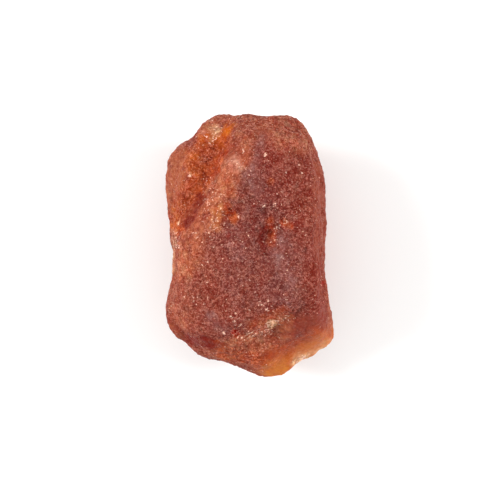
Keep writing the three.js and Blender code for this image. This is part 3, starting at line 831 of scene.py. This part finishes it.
class Nodes:
    """Short calls for a material's nodes."""

    def __init__(self, name):
        self.material = bpy.data.materials.new(name)
        self.material.use_nodes = True
        self.tree = self.material.node_tree
        self.shader = self.tree.nodes["Principled BSDF"]

    def put(self, socket, value):
        if isinstance(value, bpy.types.NodeSocket):
            self.tree.links.new(value, socket)
        elif value is not None:
            socket.default_value = value

    def node(self, kind, inputs=(), **settings):
        made = self.tree.nodes.new(kind)
        for key, value in settings.items():
            setattr(made, key, value)
        for key, value in dict(inputs).items():
            self.put(made.inputs[key], value)
        return made

    def mask(self, name):
        """One of the mesh's masks."""
        return self.node("ShaderNodeAttribute", attribute_name=name).outputs["Fac"]

    def math(self, operation, a, b=None):
        return self.node("ShaderNodeMath", {0: a, 1: b}, operation=operation).outputs[0]

    def times(self, a, b):
        return self.math("MULTIPLY", a, b)

    def mix(self, share, a, b):
        made = self.node("ShaderNodeMix", data_type="RGBA")
        self.put(made.inputs["Factor"], share)
        self.put(made.inputs["A"], a)
        self.put(made.inputs["B"], b)
        return made.outputs["Result"]

    def span(self, value, low, high, to_low=0.0, to_high=1.0):
        """The value's place between low and high, and not past them, laid out between two other ends."""
        made = self.node("ShaderNodeMapRange", {"Value": value, "From Min": low, "From Max": high,
                                                "To Min": to_low, "To Max": to_high})
        return made.outputs["Result"]

    def noise(self, place, size, detail=3.0, roughness=0.55):
        """Clouds of 0 to 1, of a size in mm."""
        made = self.node("ShaderNodeTexNoise", {"Vector": place, "Scale": 1 / (size * MM), "Detail": detail,
                                                "Roughness": roughness})
        return made.outputs["Fac"]

    def vector(self, operation, a, b, c=None):
        return self.node("ShaderNodeVectorMath", {0: a, 1: b, 2: c}, operation=operation)

    def scaled(self, colour, factors, more=(0.0, 0.0, 0.0)):
        """A colour times the factors, with some more of each part."""
        return self.vector("MULTIPLY_ADD", colour, factors, more).outputs[0]

    def cells(self, place, size):
        """A cell texture of a size in mm."""
        return self.node("ShaderNodeTexVoronoi", {"Vector": place, "Scale": 1 / (size * MM)})

    def chance(self, place, size):
        """A chance number of 0 to 1 for each cell."""
        colour = self.cells(place, size).outputs["Color"]
        return self.node("ShaderNodeSeparateColor", {"Color": colour}).outputs["Red"]

    def facets(self, place, size, steepness):
        """Height of crystal faces, each a cell that is tilted its own way, in metres."""
        grain = self.cells(place, size)
        offset = self.vector("SUBTRACT", place, grain.outputs["Position"]).outputs[0]
        tilt = self.vector("SUBTRACT", grain.outputs["Color"], (0.5, 0.5, 0.5)).outputs[0]
        return self.times(self.vector("DOT_PRODUCT", offset, tilt).outputs["Value"], steepness)


# Frost multiplies a colour and adds a glow to it, and a clear hollow multiplies it.
FROSTED = (1.25, 1.45, 1.5)
FROST_GLOW = (0.21, 0.115, 0.088)
CLEAR = (0.6, 0.42, 0.38)

# Sugar: cells of this size in mm, frosted or clear by chance. Each kind grows in over a span of the chance
# number, by a share of the frost there.
SUGAR = 0.08
FROSTED_CHANCE = (0.75, 1.0)
FROSTED_SHARE = 0.7
CLEAR_CHANCE = (0.6, 0.0)
CLEAR_SHARE = 0.92

# Crests: frosted lines where noise of these sizes in mm crosses its middle. Noise BREAK_SIZE times as wide
# breaks them up, and clear hollows lie between them.
CREST_SIZES = (0.4, 0.24)
CREST_ROUGHNESS = 0.6
CREST_SPAN = (0.032, 0.0)
BREAK_SIZE = 0.7
BREAK_SPAN = (0.42, 0.62)
BETWEEN_SPAN = (0.05, 0.2)
BETWEEN_SHARE = 0.3

# Painted glints, specks of painted light of this size in mm: one shows where its noise is over what is
# needed.
# Less is needed in a cluster and where the glints' mask is high. A glint is fainter where the stone is clear.
SPARKLE = (*linear(250, 204, 180), 1.0)
SPARKLE_SIZE = 0.15
SPARKLE_ROUGHNESS = 0.6
SPARKLE_SPAN = (0.0, 0.1)
CLUSTER_SIZE = 1.3
CLUSTER_SPAN = (0.35, 0.65)
CLUSTER_NEED = (0.745, 0.665)
MASK_NEED = 0.2
SPARKLE_FROST = (0.0, 0.4)
SPARKLE_SHARE = (0.1, 0.85)

# Gloss: the roughness over a span of fine noise, and how much of it is left from clear to frosted stone.
FINE_SIZE = 0.2
FINE_DETAIL = 5.0
FINE_ROUGHNESS = 0.75
GLOSS_SPAN = (0.3, 0.7)
GLOSS = (0.45, 0.7)
GLOSS_LEFT = (0.6, 1.0)
GARNET_IOR = 1.74
SHINE = 0.02

# Light that scatters under the surface: its share, how deep it goes in mm, and the parts of that depth that
# red, green and blue reach.
SCATTER = 0.25
SCATTER_DEPTH = 0.5
SCATTER_COLOURS = (1.0, 0.3, 0.15)

# Bumps: crystal faces of a size in mm and how steep they are, how much of them is left from clear to frosted
# stone, and the height of the fine noise in mm.
FACETS = ((0.13, 1.1), (0.31, 0.7))
FACETS_LEFT = (0.15, 1.0)
FINE_HEIGHT = 0.03


def sugared(n, place, frost, shade):
    """The shade with frosted and clear cells, crests, and clear hollows between these."""
    frosted = n.scaled(shade, FROSTED, FROST_GLOW)
    clear = n.scaled(shade, CLEAR)
    chance = n.chance(place, SUGAR)
    shade = n.mix(n.times(n.span(chance, *FROSTED_CHANCE), n.times(frost, FROSTED_SHARE)), shade, frosted)
    shade = n.mix(n.times(n.span(chance, *CLEAR_CHANCE), n.times(frost, CLEAR_SHARE)), shade, clear)
    for size in CREST_SIZES:
        winding = n.noise(place, size, roughness=CREST_ROUGHNESS)
        off_crest = n.math("ABSOLUTE", n.math("SUBTRACT", winding, 0.5))
        broken = n.span(n.noise(place, BREAK_SIZE * size, detail=1.0), *BREAK_SPAN)
        crest = n.times(n.span(off_crest, *CREST_SPAN), n.times(frost, broken))
        shade = n.mix(n.times(n.span(off_crest, *BETWEEN_SPAN), BETWEEN_SHARE), shade, clear)
        shade = n.mix(crest, shade, frosted)
    return shade


def sparkling(n, place, frost, shade):
    """The shade with painted glints, few in most places and many where the stone is crumbled."""
    cluster = n.span(n.noise(place, CLUSTER_SIZE), *CLUSTER_SPAN, *CLUSTER_NEED)
    needed = n.math("SUBTRACT", cluster, n.times(n.mask("painted_glints"), MASK_NEED))
    specks = n.noise(place, SPARKLE_SIZE, detail=1.0, roughness=SPARKLE_ROUGHNESS)
    over = n.span(n.math("SUBTRACT", specks, needed), *SPARKLE_SPAN)
    # Painted glints: bright specks of light laid into the base colour.
    return n.mix(n.times(over, n.span(frost, *SPARKLE_FROST, *SPARKLE_SHARE)), shade, SPARKLE)


def put_gloss(n, fine, frost):
    gloss = n.times(n.span(fine, *GLOSS_SPAN, *GLOSS), n.span(frost, 0.0, 1.0, *GLOSS_LEFT))
    n.put(n.shader.inputs["Roughness"], gloss)
    n.put(n.shader.inputs["IOR"], GARNET_IOR)
    n.put(n.shader.inputs["Specular IOR Level"], SHINE)
    n.put(n.shader.inputs["Subsurface Weight"], SCATTER)
    n.put(n.shader.inputs["Subsurface Radius"], SCATTER_COLOURS)
    n.put(n.shader.inputs["Subsurface Scale"], SCATTER_DEPTH * MM)


def put_bumps(n, place, fine, frost):
    facets = n.math("ADD", *(n.facets(place, size, steepness) for size, steepness in FACETS))
    rough = n.span(frost, 0.0, 1.0, *FACETS_LEFT)
    height = n.math("ADD", n.times(facets, rough), n.times(fine, FINE_HEIGHT * MM))
    bump = n.node("ShaderNodeBump", {"Height": height, "Strength": 1.0, "Distance": 1.0})
    n.put(n.shader.inputs["Normal"], bump.outputs["Normal"])


def garnet_material():
    n = Nodes("garnet")
    place = n.node("ShaderNodeTexCoord").outputs["Object"]
    shade = n.node("ShaderNodeAttribute", attribute_name="stone").outputs["Color"]
    frost = n.mask("frost")
    shade = sparkling(n, place, frost, sugared(n, place, frost, shade))
    n.put(n.shader.inputs["Base Color"], shade)
    fine = n.noise(place, FINE_SIZE, detail=FINE_DETAIL, roughness=FINE_ROUGHNESS)
    put_gloss(n, fine, frost)
    put_bumps(n, place, fine, frost)
    return n.material


# ---------------------------------------------------------------- floor, light and camera

# The floor lies a hair under the stone, so that the two don't touch.
FLOOR_SIDE = 3.0
FLOOR_DROP = 0.02 * MM
FLOOR_COLOUR = (*linear(250, 250, 249), 1.0)
FLOOR_ROUGHNESS = 0.9

# How strong the white light from all round is.
WORLD_STRENGTH = 0.66

# Soft square lights: where each stands and how wide it is, in metres, and its power in watts.
SOFT_LIGHTS = {
    "left box": dict(place=(-0.4, 0.08, 0.28), side=0.2, power=2.1),
    "right box": dict(place=(0.4, 0.04, 0.28), side=0.2, power=1.7),
}

# The photograph's frame, at the stone's rim: its width and its middle.
VIEW_WIDTH = 32.25 * MM
VIEW_MIDDLE = Vector((0.02, -0.26, 4.0)) * MM

# The lens and the width of its sensor, in mm, and how near to itself the camera sees, in metres.
LENS = 150
SENSOR = 36
NEAREST = 0.001


def floor():
    half = FLOOR_SIDE / 2
    mesh = bpy.data.meshes.new("floor")
    corners = [(-half, -half), (half, -half), (half, half), (-half, half)]
    mesh.from_pydata([(x, y, -FLOOR_DROP) for x, y in corners], [], [(0, 1, 2, 3)])
    plain = Nodes("floor")
    plain.put(plain.shader.inputs["Base Color"], FLOOR_COLOUR)
    plain.put(plain.shader.inputs["Roughness"], FLOOR_ROUGHNESS)
    mesh.materials.append(plain.material)
    made = bpy.data.objects.new("floor", mesh)
    bpy.context.scene.collection.objects.link(made)


def soft_light(name, place, side, power):
    data = bpy.data.lights.new(name, "AREA")
    data.size = side
    data.energy = power
    made = bpy.data.objects.new(name, data)
    made.location = Vector(place)
    made.rotation_euler = (-made.location).to_track_quat("-Z", "Y").to_euler()
    bpy.context.scene.collection.objects.link(made)


def lights():
    world = bpy.data.worlds.new("studio")
    world.use_nodes = True
    world.node_tree.nodes["Background"].inputs["Color"].default_value = (1, 1, 1, 1)
    world.node_tree.nodes["Background"].inputs["Strength"].default_value = WORLD_STRENGTH
    bpy.context.scene.world = world
    for name, light in SOFT_LIGHTS.items():
        soft_light(name, **light)


def camera():
    data = bpy.data.cameras.new("camera")
    data.lens = LENS
    data.sensor_width = SENSOR
    data.clip_start = NEAREST
    made = bpy.data.objects.new("camera", data)
    made.location = VIEW_MIDDLE + Vector((0, 0, VIEW_WIDTH * LENS / SENSOR))
    bpy.context.scene.collection.objects.link(made)
    bpy.context.scene.camera = made
    bpy.context.scene.view_settings.view_transform = "Standard"


# ---------------------------------------------------------------- the stone


def garnet():
    mesh = stone_mesh()
    mesh.name = "garnet_stone"
    carve(mesh)
    colours, frost, painted_glints = painted(mesh)
    add_colour(mesh, "stone", colours)
    add_mask(mesh, "frost", frost)
    # The mask of the painted glints.
    add_mask(mesh, "painted_glints", painted_glints)
    mesh.polygons.foreach_set("use_smooth", np.ones(len(mesh.polygons), dtype=bool))
    mesh.materials.append(garnet_material())
    made = bpy.data.objects.new("garnet_stone", mesh)
    bpy.context.scene.collection.objects.link(made)
    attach(made, "root")
    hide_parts(NODE)


garnet()
floor()
lights()
camera()
